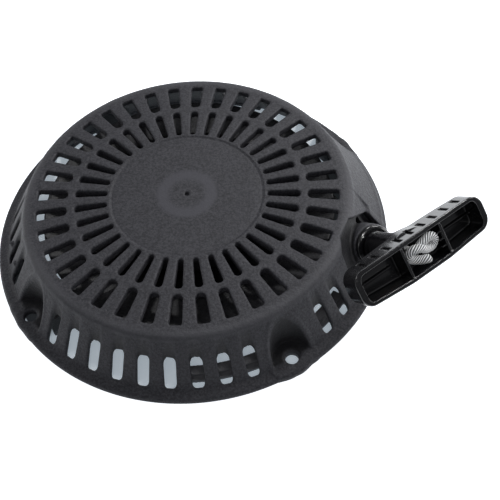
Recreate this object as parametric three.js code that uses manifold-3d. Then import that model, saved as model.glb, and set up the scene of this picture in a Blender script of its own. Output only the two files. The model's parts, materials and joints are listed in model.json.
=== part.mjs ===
// Recoil starter: slotted fan housing, rope reel, flat spiral return spring, pawls, and a T-handle on a rope.
// Frame: millimetres, +Z up. Origin on the crank axis, on the plane of the mounting flange's underside,
// where the flat head of the centre screw also ends. +X is the side where the rope leaves.
import * as THREE from 'three';
import { mergeVertices } from 'three/addons/utils/BufferGeometryUtils.js';
import Module from 'manifold-3d';

const wasm = await Module();
wasm.setup();

// ---------- driving dimensions (mm, degrees) ----------
const SEG = 36;                       // facets of the large round shells, edges between the slots
const RIM_R = 100, FLANGE_T = 2.6;    // mounting flange
const WALL_BASE_R = 95.2, WALL_BASE_Z = 3.2;
const WALL_TOP_R = 82.4, WALL_TOP_Z = 26.8;
const TOP_EDGE_R = 80.3, TOP_EDGE_Z = 28.5;
const CROWN_R = 58, CROWN_Z = 30.1;   // the annulus is slightly crowned
const DISC_R = 38.0, DISC_Z = 29.95;  // smooth centre disc
const TOP_UNDER_Z = 27.3;             // underside of the top wall inside the spring wall
const GRATE_UNDER_Z = 25.4;           // underside of the slotted annulus, which is thicker
const SLOPE_IN = [[93.4, -1], [85.5, 16.0], [79.6, 25.4]];   // inner face of the sloping wall
const SPRING_WALL_IN = 36.6, SPRING_WALL_OUT = 38.8, SPRING_WALL_LOW = 17.7;
const POST_R = 7.0, POST_LOW_Z = 5.1, POST_BORE_R = 4.3, POST_BORE_TOP = 22.0;

const SLOT_PITCH = 10;                // top slots, degrees
const IN_SLOT = [39.9, 56.2, 1.3, 2.0];   // inner r, outer r, half width at each end
const OUT_SLOT = [59.9, 75.2, 2.55, 3.1];
const SIDE_SLOT = [82.7, 94.0, 2.85]; // side slots: inner r, outer r, half width
const SIDE_PITCH = 8;
const EARS = [46, 134, -134, -46];
const EAR_R = 93.5, EAR_HOLE_R = 3.15, EAR_PAD_Z = 4.0, EAR_POCKET_R = 9.8, EAR_POCKET_AT = 94.5;

const EXIT_AZ = -42.6, EXIT_EL = 42.0;   // direction in which the rope leaves the guide
const HANDLE_ROLL = 1.6;
const GUIDE_AT = new THREE.Vector3(94.2, -5.3, 15.7);
const ROPE_R = 2.3;

const REEL_R = 71, REEL_FLARE_R = 73.4, REEL_FLARE_Z = 20.0, REEL_LOW = 8.6, REEL_TOP = 16.4, GROOVE_LOW = 9.9, GROOVE_TOP = 15.1, GROOVE_R = 56;
const HUB_R = 12, HUB_BORE = 8.9, HUB_TOP = 26.6, RIM_IN = 53.4;
const ROPE_Z = 12.5;

const GRIP_L = 75.4, GRIP_D = 12.6, GRIP_FRONT = 42.0, GRIP_WALL = 2.2;
const GRIP_UP = 9.2, GRIP_LOW = 10.3, GRIP_LOW_END = 8.6;
const GRIP_SHIFT = 1.5;               // the grip's middle sits a little beside the neck's axis
const GRIP_END_WALL = 2.9;
const RIB_POS = [-9.8 + GRIP_SHIFT, 13.2 + GRIP_SHIFT];

const PAWL_AT = 24, PAWL_LOW = 6.7, PAWL_TOP = 11.4;
const PEG = [1.5, -8.0], PEG_R = 1.3;   // drive peg on each pawl, from its pin
const PLATE_TURN = 25, PAWL_TURN = 30;  // degrees

// ---------- helpers ----------
const rad = (d) => (d * Math.PI) / 180;
const solid = (geometry) => {
  const g = geometry.clone();
  for (const name of ['normal', 'uv']) if (g.attributes[name]) g.deleteAttribute(name);
  const m = mergeVertices(g, 1e-4);
  return new wasm.Manifold(new wasm.Mesh({
    numProp: 3,
    vertProperties: Float32Array.from(m.attributes.position.array),
    triVerts: Uint32Array.from(m.index.array),
  }));
};
const geometry = (manifold) => {
  const mesh = manifold.getMesh();
  const g = new THREE.BufferGeometry();
  g.setAttribute('position', new THREE.BufferAttribute(Float32Array.from(mesh.vertProperties), 3));
  g.setIndex(new THREE.BufferAttribute(Uint32Array.from(mesh.triVerts), 1));
  g.computeVertexNormals();
  return g;
};
// closed profile of [r, z] points turned about Z; facet edges start at `phase` degrees
const turned = (profile, segments = SEG, phase = 0) => {
  const pts = profile.map(([r, z]) => new THREE.Vector2(r, z));
  if (profile[0][0] !== 0 || profile[profile.length - 1][0] !== 0) pts.push(pts[0].clone());
  const g = new THREE.LatheGeometry(pts, segments);
  g.rotateX(Math.PI / 2);
  g.rotateZ(rad(phase));
  const index = g.index.array;          // drop the zero-area triangles on the axis
  const p = g.attributes.position, keep = [];
  const a = new THREE.Vector3(), b = new THREE.Vector3(), c = new THREE.Vector3();
  for (let i = 0; i < index.length; i += 3) {
    a.fromBufferAttribute(p, index[i]); b.fromBufferAttribute(p, index[i + 1]); c.fromBufferAttribute(p, index[i + 2]);
    if (b.clone().sub(a).cross(c.clone().sub(a)).length() > 1e-6) keep.push(index[i], index[i + 1], index[i + 2]);
  }
  g.setIndex(keep);
  let volume = 0;
  for (let i = 0; i < keep.length; i += 3) {
    a.fromBufferAttribute(p, keep[i]); b.fromBufferAttribute(p, keep[i + 1]); c.fromBufferAttribute(p, keep[i + 2]);
    volume += a.dot(b.clone().cross(c));
  }
  if (volume < 0) for (let i = 0; i < keep.length; i += 3) [keep[i + 1], keep[i + 2]] = [keep[i + 2], keep[i + 1]];
  g.setIndex(keep);
  return g;
};
const prism = (points, z0, z1) => {
  const g = new THREE.ExtrudeGeometry(new THREE.Shape(points.map(([x, y]) => new THREE.Vector2(x, y))),
    { depth: z1 - z0, bevelEnabled: false });
  g.translate(0, 0, z0);
  return g;
};
const circle = (x, y, r, n = 16, phase = 0) => Array.from({ length: n }, (_, i) => {
  const a = (2 * Math.PI * i) / n + phase;
  return [x + r * Math.cos(a), y + r * Math.sin(a)];
});
const spin = ([x, y], deg) => [x * Math.cos(rad(deg)) - y * Math.sin(rad(deg)), x * Math.sin(rad(deg)) + y * Math.cos(rad(deg))];
const polar = (r, deg) => [r * Math.cos(rad(deg)), r * Math.sin(rad(deg))];
const union = (list) => list.reduce((a, b) => a.add(b));
// tube of n sides along a list of points
const tube = (points, r, n = 8, steps = null) => {
  const path = new THREE.CurvePath();
  for (let i = 1; i < points.length; i++) path.add(new THREE.LineCurve3(points[i - 1], points[i]));
  const curve = points.length > 2 ? new THREE.CatmullRomCurve3(points, false, 'centripetal') : path;
  const shape = new THREE.Shape(circle(0, 0, r, n, Math.PI / n).map(([x, y]) => new THREE.Vector2(x, y)));
  return new THREE.ExtrudeGeometry(shape, { steps: steps ?? points.length * 2, bevelEnabled: false, extrudePath: curve });
};
const group = new THREE.Group();
const finishes = {
  housing: { color: 0x3c3d42, roughness: 0.62, metalness: 0 },
  gloss: { color: 0x0e0e10, roughness: 0.18, metalness: 0 },
  reel: { color: 0x17171a, roughness: 0.5, metalness: 0 },
  rope: { color: 0xe6e7e8, roughness: 0.85, metalness: 0 },
  steel: { color: 0xa9adb2, roughness: 0.32, metalness: 1 },
  spring: { color: 0x4c5056, roughness: 0.3, metalness: 1 },
  brass: { color: 0xb99a55, roughness: 0.35, metalness: 1 },
};
const put = (name, shape, finish, parent = group) => {
  const mesh = new THREE.Mesh(shape.getMesh ? geometry(shape) : shape, new THREE.MeshStandardMaterial(finishes[finish]));
  mesh.name = name;
  parent.add(mesh);
  return mesh;
};

// frame of the rope exit: its +Z is the way the rope is pulled, +X the grip's long way, +Y the grip's upper side
const out = new THREE.Vector3(Math.cos(rad(EXIT_EL)) * Math.cos(rad(EXIT_AZ)), Math.cos(rad(EXIT_EL)) * Math.sin(rad(EXIT_AZ)), Math.sin(rad(EXIT_EL)));
const level = new THREE.Vector3(-Math.sin(rad(EXIT_AZ)), Math.cos(rad(EXIT_AZ)), 0);
const rise = out.clone().cross(level);
const gripX = level.clone().multiplyScalar(Math.cos(rad(HANDLE_ROLL))).addScaledVector(rise, Math.sin(rad(HANDLE_ROLL)));
const gripY = out.clone().cross(gripX);
const exitFrame = new THREE.Matrix4().makeBasis(gripX, gripY, out).setPosition(GUIDE_AT);
const inExit = (g) => g.applyMatrix4(exitFrame);
const exitPoint = (x, y, z) => new THREE.Vector3(x, y, z).applyMatrix4(exitFrame);

// ---------- housing ----------
const slot = ([r0, r1, w0, w1], deg, inner = 1, outer = 1) => {
  const c0 = Math.min(w0 * 0.75, 1.6) * inner, c1 = Math.min(w1 * 0.55, 1.4) * outer;
  const pts = [[r0, -w0 + c0], [r0 + c0, -w0], [r1 - c1, -w1], [r1, -w1 + c1], [r1, w1 - c1], [r1 - c1, w1], [r0 + c0, w0], [r0, w0 - c0]];
  return pts.map((p) => spin(p, deg));
};
const outerProfile = [[0, 0], [RIM_R, 0], [RIM_R, FLANGE_T], [WALL_BASE_R, WALL_BASE_Z], [WALL_TOP_R, WALL_TOP_Z],
  [TOP_EDGE_R, TOP_EDGE_Z], [CROWN_R, CROWN_Z], [DISC_R, DISC_Z], [0, DISC_Z]];
const hollowProfile = [[0, -1], ...SLOPE_IN, [DISC_R, GRATE_UNDER_Z], [DISC_R, TOP_UNDER_Z], [0, TOP_UNDER_Z]];
const outerSolid = solid(turned(outerProfile, SEG, 5));
let housing = outerSolid.subtract(solid(turned(hollowProfile, SEG, 5)));
// spring wall and centre post
housing = housing.add(solid(turned([[SPRING_WALL_IN, SPRING_WALL_LOW], [SPRING_WALL_OUT, SPRING_WALL_LOW], [SPRING_WALL_OUT, TOP_UNDER_Z + 1], [SPRING_WALL_IN, TOP_UNDER_Z + 1]], SEG, 5)));
housing = housing.add(solid(prism(circle(0, 0, POST_R, 20), POST_LOW_Z, TOP_UNDER_Z + 1)));
// bolt ears: pad, closed pocket in the wall, and a bump on the rim
for (const deg of EARS) {
  const [x, y] = polar(EAR_POCKET_AT, deg);
  housing = housing.add(solid(prism(circle(x, y, EAR_POCKET_R + 2.4, 20, rad(deg)), 0, 29)).intersect(outerSolid));
  const [bx, by] = polar(EAR_R, deg);
  housing = housing.add(solid(prism(circle(bx, by, deg === -46 ? 8.2 : 6.6, 20, rad(deg)), 0, FLANGE_T)));
}
// smooth panel beside the rope exit: a fuller sector of the wall, ending in a step at y = 19.6
const sector = (a0, a1, r0, r1) => [polar(r0, a0), polar(r1, a0), polar(r1 * 1.02, (a0 + a1) / 2), polar(r1, a1), polar(r0, a1)];
const panelSteps = solid(prism([[60, 19.6], [110, 19.6], [110, 90], [60, 90]], -1, 40))
  .add(solid(prism([[60, 14.6], [110, 14.6], [110, 90], [60, 90]], -1, 14)));
const panel = solid(turned([[80.4, 12], [84.5, 3.0], [98.3, 3.0], [97.6, 5.0], [81.0, TOP_EDGE_Z - 0.6], [80.4, TOP_EDGE_Z - 0.6]], SEG, 5))
  .intersect(solid(prism(sector(5, 39, 60, 110), -1, 40))).intersect(panelSteps);
housing = housing.add(panel);
// pocket round the rope guide: the wall steps inwards over a many-sided patch seen along the rope
const pocketOutline = [[-19.5, -14], [17, -14], [17, -1.5], [11.5, 11.3], [-5, 17.8], [-15.5, 14.2], [-19.5, 8]];
const grown = (pts, by) => pts.map(([x, y]) => { const l = Math.hypot(x, y); return [x * (1 + by / l), y * (1 + by / l)]; });
const wallShift = (by) => solid(turned([[0, 0], [98, 0], [WALL_BASE_R - by, WALL_BASE_Z], [WALL_TOP_R - by, WALL_TOP_Z], [WALL_TOP_R - by, 28], [0, 28]], SEG, 5));
const recessed = wallShift(3.6);
const pocketBack = solid(inExit(prism(grown(pocketOutline, 2.6), -36, 24))).intersect(recessed.subtract(wallShift(6.4)))
  .intersect(solid(prism([[60, -60], [120, -60], [120, 30], [60, 30]], 0, GRATE_UNDER_Z + 0.6)));
const pocketRim = solid(inExit(prism(grown(pocketOutline, 2.6), -36, 24)).clone()).intersect(outerSolid).subtract(wallShift(6.4))
  .intersect(solid(prism([[60, -60], [120, -60], [120, 30], [60, 30]], 0, GRATE_UNDER_Z + 0.6)));
const pocketCut = solid(inExit(prism(pocketOutline, -36, 24))).subtract(recessed)
  .intersect(solid(prism([[60, -60], [120, -60], [120, 30], [60, 30]], 3.2, 40)));
housing = housing.add(pocketRim).subtract(pocketCut).add(pocketBack);
// boss that carries the rope guide
const reelClear = solid(prism(circle(0, 0, 74.4, 36), -5, GRATE_UNDER_Z));
const bossBlock = solid(inExit(prism(circle(0, 0, 10.6, 20), -20, -0.2)))
  .intersect(solid(prism(circle(0, 0, 99.6, 72), 0, 27)));
housing = housing.add(bossBlock.subtract(reelClear));
// inner baffle arcs at the foot of the wall, joined to it by short webs between the side slots
const ARC = [[82.6, 0], [89.6, 0], [89.6, 2.2], [87.4, 2.2], [87.4, 4.2], [82.6, 4.2]];
const wedge = (a0, a1) => solid(prism([[0, 0], polar(160, a0), polar(160, a1)], -1, 8));
housing = housing.add(solid(turned(ARC, SEG, 5)).intersect(wedge(-79, -55).add(wedge(-37, -19))));
for (const deg of [-78, -70, -62, -36, -28, -20]) {
  housing = housing.add(solid(prism([[84, -1.1], [94.6, -1.1], [94.6, 1.1], [84, 1.1]].map((p) => spin(p, deg)), 0, 2.2)));
}
// cuts
const cuts = [];
for (let k = 0; k < 360 / SLOT_PITCH; k++) {
  cuts.push(solid(prism(slot(IN_SLOT, k * SLOT_PITCH), 24.5, 32)));
  cuts.push(solid(prism(slot(OUT_SLOT, k * SLOT_PITCH), 24.5, 32)));
}
const sideAngles = [];
for (let k = -4; k <= 4; k++) sideAngles.push(-90 + SIDE_PITCH * k, 90 + SIDE_PITCH * k, 180 + SIDE_PITCH * k);
sideAngles.push(-32, -24);
// a cutter whose inner end leans outwards from the slot's arch down to the wall's inner face
const loft = (lower, z0, upper, z1) => {
  const n = lower.length, pos = [], index = [];
  for (const [x, y] of lower) pos.push(x, y, z0);
  for (const [x, y] of upper) pos.push(x, y, z1);
  for (let i = 1; i < n - 1; i++) index.push(0, i + 1, i, n, n + i, n + i + 1);
  for (let i = 0; i < n; i++) { const j = (i + 1) % n; index.push(i, j, n + j, i, n + j, n + i); }
  const g = new THREE.BufferGeometry();
  g.setAttribute('position', new THREE.Float32BufferAttribute(pos, 3));
  g.setIndex(index);
  return g;
};
const sideOutline = (r0, deg) => {
  const [, r1, w] = SIDE_SLOT, c = 1.3;
  return [[r0, -w + c], [r0 + c, -w], [r1 - c, -w], [r1, -w + c], [r1, w - c], [r1 - c, w], [r0 + c, w], [r0, w - c]].map((p) => spin(p, deg));
};
for (const deg of sideAngles) {
  const band = (deg >= -78 && deg <= -56) || (deg >= -36 && deg <= -19);
  const low = solid(prism(sideOutline(85.9, deg), -1, 16.05));
  cuts.push(band ? low.subtract(solid(turned(ARC.map(([r, z]) => [r, z === 0 ? -2 : z]), SEG, 5))) : low);
  cuts.push(solid(loft(sideOutline(85.9, deg), 16, sideOutline(SIDE_SLOT[0], deg), 26.8)));
  cuts.push(solid(prism(sideOutline(SIDE_SLOT[0], deg), 26.75, 40)));
}
for (const deg of EARS) {
  const [x, y] = polar(EAR_POCKET_AT, deg);
  cuts.push(solid(prism(circle(x, y, EAR_POCKET_R, 20, rad(deg)), EAR_PAD_Z, 40)));
  const [hx, hy] = polar(EAR_R, deg);
  cuts.push(solid(prism(circle(hx, hy, EAR_HOLE_R, 12, rad(deg)), -1, 10)));
  cuts.push(solid(prism(circle(hx, hy, 4.2, 12, rad(deg)), EAR_PAD_Z - 0.6, 10)));
}
cuts.push(solid(prism(circle(0, 0, POST_BORE_R, 12), POST_LOW_Z - 1, POST_BORE_TOP)));      // seat of the threaded insert
cuts.push(solid(prism(circle(0, 0, 1.0, 8), DISC_Z - 1.4, DISC_Z + 1)));                      // gate dimple
// guide seat: spot face, bore, and the channel for the rope behind it
cuts.push(solid(inExit(prism(circle(0, 0, 11.4, 20), -0.2, 30))));
cuts.push(solid(inExit(prism(circle(0, 0, 5.6, 12), -9, 1))));
const bendAt = exitPoint(0, 0, 0).addScaledVector(out, (ROPE_Z - GUIDE_AT.z) / out.z);
const WIND_R = 67.2;
const gd = Math.hypot(bendAt.x, bendAt.y), ga = Math.atan2(bendAt.y, bendAt.x);
const tangentAz = ga + Math.acos(WIND_R / gd);
const tangentPoint = new THREE.Vector3(WIND_R * Math.cos(tangentAz), WIND_R * Math.sin(tangentAz), ROPE_Z);
const run = bendAt.clone().sub(tangentPoint);
const runLength = run.length();
run.normalize();
cuts.push(solid(tube([bendAt.clone().addScaledVector(run, -30), bendAt.clone().addScaledVector(run, 3.0)], 4.2, 10, 1)));
for (const c of cuts) housing = housing.subtract(c);
housing = housing.subtract(solid(prism(circle(0, 0, 130, 12), -10, 0)));
put('housing', housing, 'housing');

// ---------- rope guide: flanged eyelet with a rounded mouth ----------
const eyelet = [[3.3, -3.2], [4.2, -4.2], [5.3, -4.2], [5.3, 0.1], [8.8, 0.1], [10.0, 0.7], [10.0, 1.5], [8.6, 2.4], [5.6, 2.4], [4.2, 1.7], [3.3, 0.2]];
put('rope_guide', inExit(turned(eyelet, 20)), 'gloss');

// ---------- handle: hollow T-grip on a flared neck ----------
const gripOutline = (inset) => {
  const L = GRIP_L / 2 - (inset ? GRIP_END_WALL : 0), u = GRIP_UP - inset, d = GRIP_LOW - inset, e = GRIP_LOW_END - inset, r = 6.2 - inset * 0.8;
  const pts = [];
  const corner = (cx, cy, a0, a1, n = 3) => { for (let i = 0; i <= n; i++) { const a = rad(a0 + (a1 - a0) * i / n); pts.push([cx + r * Math.cos(a), cy + r * Math.sin(a)]); } };
  corner(L - r, u - r, 0, 90);
  pts.reverse();
  const right = pts.splice(0);
  corner(-(L - r), u - r, 90, 180);
  const left = pts.splice(0);
  corner(-(L - r), -(e - r), 180, 262);
  const lowLeft = pts.splice(0);
  corner(L - r, -(e - r), 278, 360);
  const lowRight = pts.splice(0);
  return [...left, ...lowLeft, [-11, -d], [11, -d], ...lowRight, ...right.reverse()].map(([x, y]) => [x + GRIP_SHIFT, y]);
};
let grip = solid(prism(gripOutline(0), GRIP_FRONT - GRIP_D, GRIP_FRONT));
// bowed back of the grip
grip = grip.add(solid(prism([[-30, GRIP_FRONT - GRIP_D], [-12, GRIP_FRONT - GRIP_D - 2.6], [12, GRIP_FRONT - GRIP_D - 2.6], [30, GRIP_FRONT - GRIP_D], [30, GRIP_FRONT - 6], [-30, GRIP_FRONT - 6]], -8.2, 8.2)
  .rotateX(Math.PI / 2).translate(GRIP_SHIFT, 0, 0)));
grip = grip.add(solid(turned([[0, 3.0], [7.0, 3.0], [7.6, 3.8], [7.2, 6], [7.4, 14], [8.2, 22], [9.0, 28], [9.0, 32], [0, 32]], 20)));
// three open compartments at the front
const cavity = solid(prism(gripOutline(GRIP_WALL), GRIP_FRONT - GRIP_D + GRIP_WALL, GRIP_FRONT + 1));
let ribs = null;
for (const x of RIB_POS) {
  const wall = solid(prism([[x - 0.7, -12], [x + 0.7, -12], [x + 0.7, 12], [x - 0.7, 12]], GRIP_FRONT - GRIP_D, GRIP_FRONT - 0.8));
  ribs = ribs ? ribs.add(wall) : wall;
}
grip = grip.subtract(cavity.subtract(ribs));
grip = grip.subtract(solid(prism(circle(0, 0, 3.0, 12), 0, GRIP_FRONT)));
// plain recessed grip bars on the upper face
for (let i = -4; i <= 4; i++) {
  const x = i * 7 + GRIP_SHIFT;
  grip = grip.subtract(solid(prism([[x - 1.2, GRIP_UP - 0.5], [x + 1.2, GRIP_UP - 0.5], [x + 1.2, GRIP_UP + 2], [x - 1.2, GRIP_UP + 2]], GRIP_FRONT - GRIP_D + 3, GRIP_FRONT - 3)));
}
put('handle_grip', geometryIn(grip), 'gloss');
function geometryIn(m) { return inExit(geometry(m)); }

// ---------- rope ----------
const LEAD_END = GRIP_FRONT - GRIP_D + GRIP_WALL - 0.2;
put('rope_lead', inExit(prism(circle(0, 0, ROPE_R, 10), 0.3, LEAD_END)), 'rope');
// knot: three lobes in the middle compartment
const lobe = (x, y, z, r) => solid(new THREE.SphereGeometry(r, 8, 6).translate(x, y, z));
put('rope_knot', geometryIn(union([lobe(-1.2, 1.2, LEAD_END + 4.1, 3.6), lobe(8.2, 1.4, LEAD_END + 4.9, 3.9), lobe(0.6, -4.0, LEAD_END + 4.0, 3.3), lobe(3.6, 0.6, LEAD_END + 3.9, 3.5)])), 'rope');
// feed: leaves the winding along a tangent, then bends up into the guide
const feed = [];
for (const s of [28, 38, 48]) feed.push(tangentPoint.clone().addScaledVector(run, s));
const before = bendAt.clone().addScaledVector(run, -4.4);
const after = bendAt.clone().addScaledVector(out, 4.4);
feed.push(before);
for (const t of [0.25, 0.5, 0.75]) {
  feed.push(before.clone().multiplyScalar((1 - t) * (1 - t)).addScaledVector(bendAt, 2 * t * (1 - t)).addScaledVector(after, t * t));
}
feed.push(exitPoint(0, 0, -0.1));
put('rope_feed', tube(feed, ROPE_R, 8, 16), 'rope');
put('rope_winding', turned([[GROOVE_R + 0.35, GROOVE_LOW + 0.3], [WIND_R + 2.2, GROOVE_LOW + 0.3], [WIND_R + 2.2, GROOVE_TOP - 0.3], [GROOVE_R + 0.35, GROOVE_TOP - 0.3]], SEG, 5), 'rope');

// ---------- reel ----------
const hubProfile = [[HUB_BORE, REEL_LOW], [HUB_R, REEL_LOW], [HUB_R, 12.2], [RIM_IN - 0.4, 12.2], [RIM_IN - 0.4, 14.4], [HUB_R, 14.4], [HUB_R, HUB_TOP], [HUB_BORE, HUB_TOP]];
const rimProfile = [[RIM_IN, REEL_LOW], [REEL_R, REEL_LOW], [REEL_R, GROOVE_LOW], [GROOVE_R, GROOVE_LOW], [GROOVE_R, GROOVE_TOP],
  [REEL_FLARE_R, REEL_FLARE_Z - 1.3], [REEL_FLARE_R, REEL_FLARE_Z], [GROOVE_R + 1.0, REEL_TOP], [RIM_IN, REEL_TOP]];
let reel = solid(turned(hubProfile, SEG, 5));
let rim = solid(turned(rimProfile, SEG, 5));
const KNOT_AZ = 200, KNOT_R = 46.2;
const [kx, ky] = polar(KNOT_R, KNOT_AZ);
reel = reel.add(solid(prism(circle(kx, ky, 6.8, 14), REEL_LOW + 0.2, REEL_TOP - 0.4)).intersect(solid(turned([[0, 0], [RIM_IN - 0.4, 0], [RIM_IN - 0.4, 30], [0, 30]], SEG, 5))));
reel = reel.subtract(solid(prism(circle(kx, ky, 4.9, 14), REEL_LOW - 1, 13.9)));
const knotHole = solid(tube([new THREE.Vector3(kx, ky, 11.8), new THREE.Vector3(...polar(GROOVE_R + 4, KNOT_AZ), 11.9)], 2.2, 8, 1)).intersect(solid(prism(circle(0, 0, GROOVE_R + 0.2, 36), 0, 30)));
reel = reel.subtract(knotHole);
rim = rim.subtract(knotHole);
for (const s of [0, 180]) {
  const [px, py] = polar(PAWL_AT, s);
  reel = reel.add(solid(prism(circle(px, py, 4.2, 14), 11.8, REEL_TOP - 0.4)));
  reel = reel.subtract(solid(prism(circle(px, py, 2.3, 12), REEL_LOW - 1, 15.2)));
}
// hook notch for the spring in the hub
reel = reel.subtract(solid(prism([[9.9, -1.2], [13, -1.2], [13, 1.2], [9.9, 1.2]].map((p) => spin(p, 90)), 18.4, 27)));
put('reel', reel, 'reel');
put('reel_rim', rim, 'reel');
put('rope_anchor_knot', lobe(kx, ky, 10.9, 2.7).add(lobe(kx + 0.9, ky + 0.7, 10.5, 2.6)), 'rope');
put('reel_bushing', turned([[POST_R + 0.3, 8.9], [HUB_BORE - 0.3, 8.9], [HUB_BORE - 0.3, 26.2], [POST_R + 0.3, 26.2]], 20), 'brass');

// ---------- return spring and its keeper ----------
const spiral = [];
const TURNS = 6.5, STRIP = 0.9, SP_IN = 13.4, SP_OUT = 35.4;
const N = Math.round(TURNS * 16);
const radiusAt = (t) => SP_IN + (SP_OUT - SP_IN) * Math.pow(t, 0.72);
const outerLine = [], innerLine = [];
for (let i = 0; i <= N; i++) {
  const t = i / N, a = rad(90) + t * TURNS * 2 * Math.PI, r = radiusAt(t);
  outerLine.push([(r + STRIP / 2) * Math.cos(a), (r + STRIP / 2) * Math.sin(a)]);
  innerLine.push([(r - STRIP / 2) * Math.cos(a), (r - STRIP / 2) * Math.sin(a)]);
}
spiral.push(...outerLine, ...innerLine.reverse());
let spring = solid(prism(spiral, 19.0, 26.3));
spring = spring.add(solid(prism([[10.3, -0.6], [13.6, -0.6], [13.6, 0.6], [10.3, 0.6]].map((p) => spin(p, 90)), 19.0, 26.3)));
put('mainspring', spring, 'spring');
put('spring_keeper', turned([[12.6, 17.6], [36.2, 17.6], [36.2, 18.5], [12.6, 18.5]], SEG, 5), 'steel');

// ---------- pawls under the reel ----------
// each pawl turns on its pin; the tip swings outwards to catch the starter cup
const pawlOutline = [[-3.6, -1.2], [-2.6, -3.0], [0.2, -3.8], [3.2, -2.8], [5.0, 1.5], [5.6, 7.0], [6.6, 12.4], [4.4, 14.2], [1.2, 12.2], [-1.4, 8.0], [-3.4, 3.0]].map(([x, y]) => [x, -y]).reverse();
const pawlSolid = () => {
  let p = solid(prism(pawlOutline, PAWL_LOW, PAWL_TOP));
  p = p.subtract(solid(prism(circle(0, 0, 2.25, 12), PAWL_LOW - 1, PAWL_TOP + 1)));
  p = p.add(solid(prism(circle(PEG[0], PEG[1], PEG_R, 10), 4.4, PAWL_LOW + 1)));
  return p;
};
for (const [i, s] of [[1, 0], [2, 180]]) {
  const holder = new THREE.Group();
  holder.rotation.z = rad(s);
  holder.position.set(...polar(PAWL_AT, s), 0);
  group.add(holder);
  put(`pawl_${i}`, pawlSolid(), 'steel', holder);
  put(`pawl_pin_${i}`, turned([[0, 6.4], [1.6, 6.4], [1.9, 6.7], [1.9, 14.6], [1.6, 14.9], [0, 14.9]], 12), 'steel', holder);
  // torsion spring beside the pin
  const coil = [];
  for (let k = 0; k <= 18; k++) {
    const a = rad(200) + (k / 18) * 2 * Math.PI * 1.6;
    coil.push(new THREE.Vector3(-7.6 + 2.0 * Math.cos(a), 1 + 2.0 * Math.sin(a), 8.2 + (k / 18) * 2.9));
  }
  put(`pawl_spring_${i}`, tube(coil, 0.4, 5, 24), 'spring', holder);
}

// ---------- friction plate, brake spring, washer, centre screw, insert ----------
let plate = solid(turned([[POST_R + 0.5, 5.1], [17.5, 5.1], [17.5, 6.0], [POST_R + 0.5, 6.0]], 24));
// two arms with cam slots: as the plate lags behind the reel, each slot drives its pawl's peg outwards
for (const s of [0, 180]) {
  const arm = [polar(12, s - 52), polar(26, s - 47), polar(32.6, s - 42), polar(33.2, s - 32), polar(31.0, s - 20), polar(29.6, s - 10), polar(26, s - 7), polar(12, s - 2)];
  plate = plate.add(solid(prism(arm, 5.1, 6.0)));
}
for (const s of [0, 180]) {
  for (let k = 0; k <= 6; k++) {
    const t = k / 6, c = Math.cos(rad(PAWL_TURN * t)), n = Math.sin(rad(PAWL_TURN * t));
    const x = PAWL_AT + PEG[0] * c - PEG[1] * n, y = PEG[0] * n + PEG[1] * c;
    const [qx, qy] = spin(spin([x, y], -PLATE_TURN * t), s);
    plate = plate.subtract(solid(prism(circle(qx, qy, PEG_R + 0.75, 12), 4, 7)));
  }
}
plate = plate.subtract(solid(prism(circle(0, 0, POST_R + 0.5, 24), 4, 7)));
put('friction_plate', plate, 'steel');
const wave = [];
for (let k = 0; k <= 20; k++) {
  const a = (k / 20) * 2 * Math.PI * 1.25;
  wave.push(new THREE.Vector3(10.4 * Math.cos(a), 10.4 * Math.sin(a), 6.8 + (k / 20) * 1.1));
}
put('brake_spring', tube(wave, 0.45, 5, 26), 'spring');
put('retainer_washer', turned([[3.3, 3.7], [11.5, 3.7], [11.5, 4.8], [3.3, 4.8]], 24), 'steel');
put('centre_screw', solid(prism(circle(0, 0, 6.0, 6), 0, 3.4)).add(solid(prism(circle(0, 0, 2.4, 12), 3, 19.5))), 'steel');
put('threaded_insert', turned([[2.7, 5.4], [4.0, 5.4], [4.0, 21.0], [2.7, 21.0]], 12), 'brass');

export default group;
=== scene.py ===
# Recoil starter: the visual model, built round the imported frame. Lengths below are in millimetres in the part's frame,
# and become metres when a mesh is made.
import bpy, bmesh, json, math
import numpy as np
from mathutils import Matrix, Vector

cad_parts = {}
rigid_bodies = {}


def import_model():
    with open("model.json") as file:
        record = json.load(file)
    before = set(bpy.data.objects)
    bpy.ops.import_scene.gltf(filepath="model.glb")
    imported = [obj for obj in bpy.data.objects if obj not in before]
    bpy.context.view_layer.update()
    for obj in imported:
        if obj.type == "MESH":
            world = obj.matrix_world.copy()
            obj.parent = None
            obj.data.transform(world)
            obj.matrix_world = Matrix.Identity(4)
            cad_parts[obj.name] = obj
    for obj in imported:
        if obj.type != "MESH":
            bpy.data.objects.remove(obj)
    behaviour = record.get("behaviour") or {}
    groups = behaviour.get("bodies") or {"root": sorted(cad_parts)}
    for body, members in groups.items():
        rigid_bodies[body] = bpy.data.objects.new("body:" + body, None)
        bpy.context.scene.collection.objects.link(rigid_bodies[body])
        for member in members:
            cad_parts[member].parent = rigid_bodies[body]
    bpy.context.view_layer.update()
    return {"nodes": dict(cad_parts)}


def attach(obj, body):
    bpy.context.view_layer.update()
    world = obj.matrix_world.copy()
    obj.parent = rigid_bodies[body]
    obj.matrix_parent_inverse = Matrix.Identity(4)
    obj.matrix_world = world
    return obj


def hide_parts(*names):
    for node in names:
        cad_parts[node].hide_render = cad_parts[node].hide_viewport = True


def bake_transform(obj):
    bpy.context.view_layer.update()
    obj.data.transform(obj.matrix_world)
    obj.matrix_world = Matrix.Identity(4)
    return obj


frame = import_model()
RNG = np.random.default_rng(7)
rad = math.radians


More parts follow.
